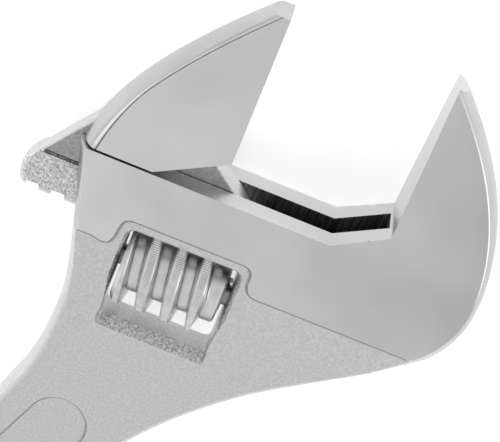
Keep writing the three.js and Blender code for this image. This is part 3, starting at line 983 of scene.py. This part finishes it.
def make_knurl():
    bm = wind_thread(RACK_PHASE - 2 * PITCH)
    press_ridges(bm)
    close_end(bm, KNURL_LEFT - 0.5, -1)
    close_end(bm, KNURL_RIGHT + 0.5, 1)
    for face in bm.faces:
        face.smooth = True
    steel = [turned_steel("knurl_steel", (0.84, 0.84, 0.84), (0.66, 0.66, 0.66), 0.33)]
    knurl = new_piece("thumb_knurl", bm, steel)
    combine(knurl, turned("blank", knurl_profile(), KNURL_AXIS, 0, steel), "INTERSECT")
    depth, radius = SPRING_SEAT
    combine(knurl, rod(KNURL_BORE, KNURL_LEFT - 1, KNURL_RIGHT + 1, KNURL_AXIS, 0, steel))
    combine(knurl, rod(radius, KNURL_RIGHT - depth, KNURL_RIGHT + 1, KNURL_AXIS, 0, steel))
    return finish_piece(knurl, 0)


knurl = make_knurl()
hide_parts("knurl")
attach(knurl, "worm")

# %% [markdown]
# ## The pin and the spring
# The knurl turns on a screw pin that goes in through the left flank. A small coil spring round
# the pin pushes the knurl to the left, which takes up the play. The pin is turned, and the
# spring is a circle spun about the pin's axis with a shift, as the thread was.

# %% The pin
def make_pin():
    left, neck, right = PIN_HEAD_LEFT, PIN_HEAD_LEFT + PIN_HEAD_LONG, PIN_RIGHT
    steel = [turned_steel("pin_steel", (0.5, 0.5, 0.5), (0.36, 0.36, 0.36), 0.34)]
    profile = [(left, 0), (left, PIN_HEAD - 0.4), (left + 0.4, PIN_HEAD), (neck, PIN_HEAD),
               (neck, PIN_RADIUS), (right - 0.8, PIN_RADIUS), (right, PIN_RADIUS - 0.8), (right, 0)]
    pin = turned("screw_pin", profile, KNURL_AXIS, 0, steel)
    across = rounded_box(left - 1, KNURL_AXIS - 5, left + 1.2, KNURL_AXIS + 5, 0.1, 2)
    combine(pin, prism(across, -0.6, 0.6, 0))
    return finish_piece(pin, 0.08)


# %% The spring
def make_spring():
    wire, radius, turns, steps = 0.45, 3.75, 6, 40
    left, right = KNURL_RIGHT - SPRING_SEAT[0] + 0.75, WINDOW[2] - 0.75
    steel = [turned_steel("spring_steel", (0.42, 0.42, 0.43), (0.3, 0.3, 0.31), 0.32)]
    bm = bmesh.new()
    loop = bmesh.ops.create_circle(bm, segments=12, radius=wire)["verts"]
    bmesh.ops.translate(bm, verts=loop, vec=(left, KNURL_AXIS + radius, 0))
    edges = bm.edges[:]
    ring = bmesh.ops.spin(bm, geom=loop + edges, cent=(0, KNURL_AXIS, 0), axis=(1, 0, 0),
                          dvec=((right - left) / (turns * steps), 0, 0), angle=2 * pi * turns,
                          steps=turns * steps)
    last = [item for item in ring["geom_last"] if isinstance(item, bmesh.types.BMEdge)]
    bmesh.ops.contextual_create(bm, geom=edges)
    bmesh.ops.contextual_create(bm, geom=last)
    return finish_piece(new_piece("coil_spring", bm, steel), 0)


pin, spring = make_pin(), make_spring()
for piece, node, slot in ((pin, "knurl_pin", "pin_steel"), (spring, "knurl_spring", "spring_steel")):
    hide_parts(node)
    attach(piece, "handle")

# %% [markdown]
# ## The studio
# Plated steel shows its surroundings, so the light matters as much as the metal. A wide pale
# floor, a soft sky and large lamps on both sides give the cheeks an even grey and put white
# lines along the rounded edges.

# %% Floor and light
def lay_floor():
    bm = bmesh.new()
    bmesh.ops.create_grid(bm, x_segments=1, y_segments=1, size=3.0)
    mesh = bpy.data.meshes.new("floor")
    bm.to_mesh(mesh)
    bm.free()
    floor = bpy.data.objects.new("floor", mesh)
    bpy.context.scene.collection.objects.link(floor)
    material = bpy.data.materials.new("pale_floor")
    material.use_nodes = True
    shader = material.node_tree.nodes["Principled BSDF"]
    shader.inputs["Base Color"].default_value = (0.93, 0.93, 0.93, 1)
    shader.inputs["Roughness"].default_value = 0.9
    shader.inputs["Emission Color"].default_value = (1, 1, 1, 1)
    shader.inputs["Emission Strength"].default_value = 0.46
    mesh.materials.append(material)


def hang_lamp(name, place, size, watts):
    data = bpy.data.lights.new(name, "AREA")
    data.shape = "RECTANGLE"
    data.size, data.size_y = size
    data.energy = watts
    lamp = bpy.data.objects.new(name, data)
    lamp.location = place
    lamp.rotation_euler = (-Vector(place)).to_track_quat("-Z", "Y").to_euler()
    bpy.context.scene.collection.objects.link(lamp)


def light_studio():
    world = bpy.data.worlds.new("sky")
    world.use_nodes = True
    background = world.node_tree.nodes["Background"]
    background.inputs["Color"].default_value = (1, 1, 1, 1)
    background.inputs["Strength"].default_value = 0.76
    bpy.context.scene.world = world
    hang_lamp("left_lamp", (-1.2, 0.2, 0.7), (0.55, 0.55), 0.7)
    hang_lamp("right_lamp", (1.2, 0.2, 0.6), (0.8, 0.8), 3.2)
    bpy.context.scene.view_settings.view_transform = "Standard"


lay_floor()
light_studio()
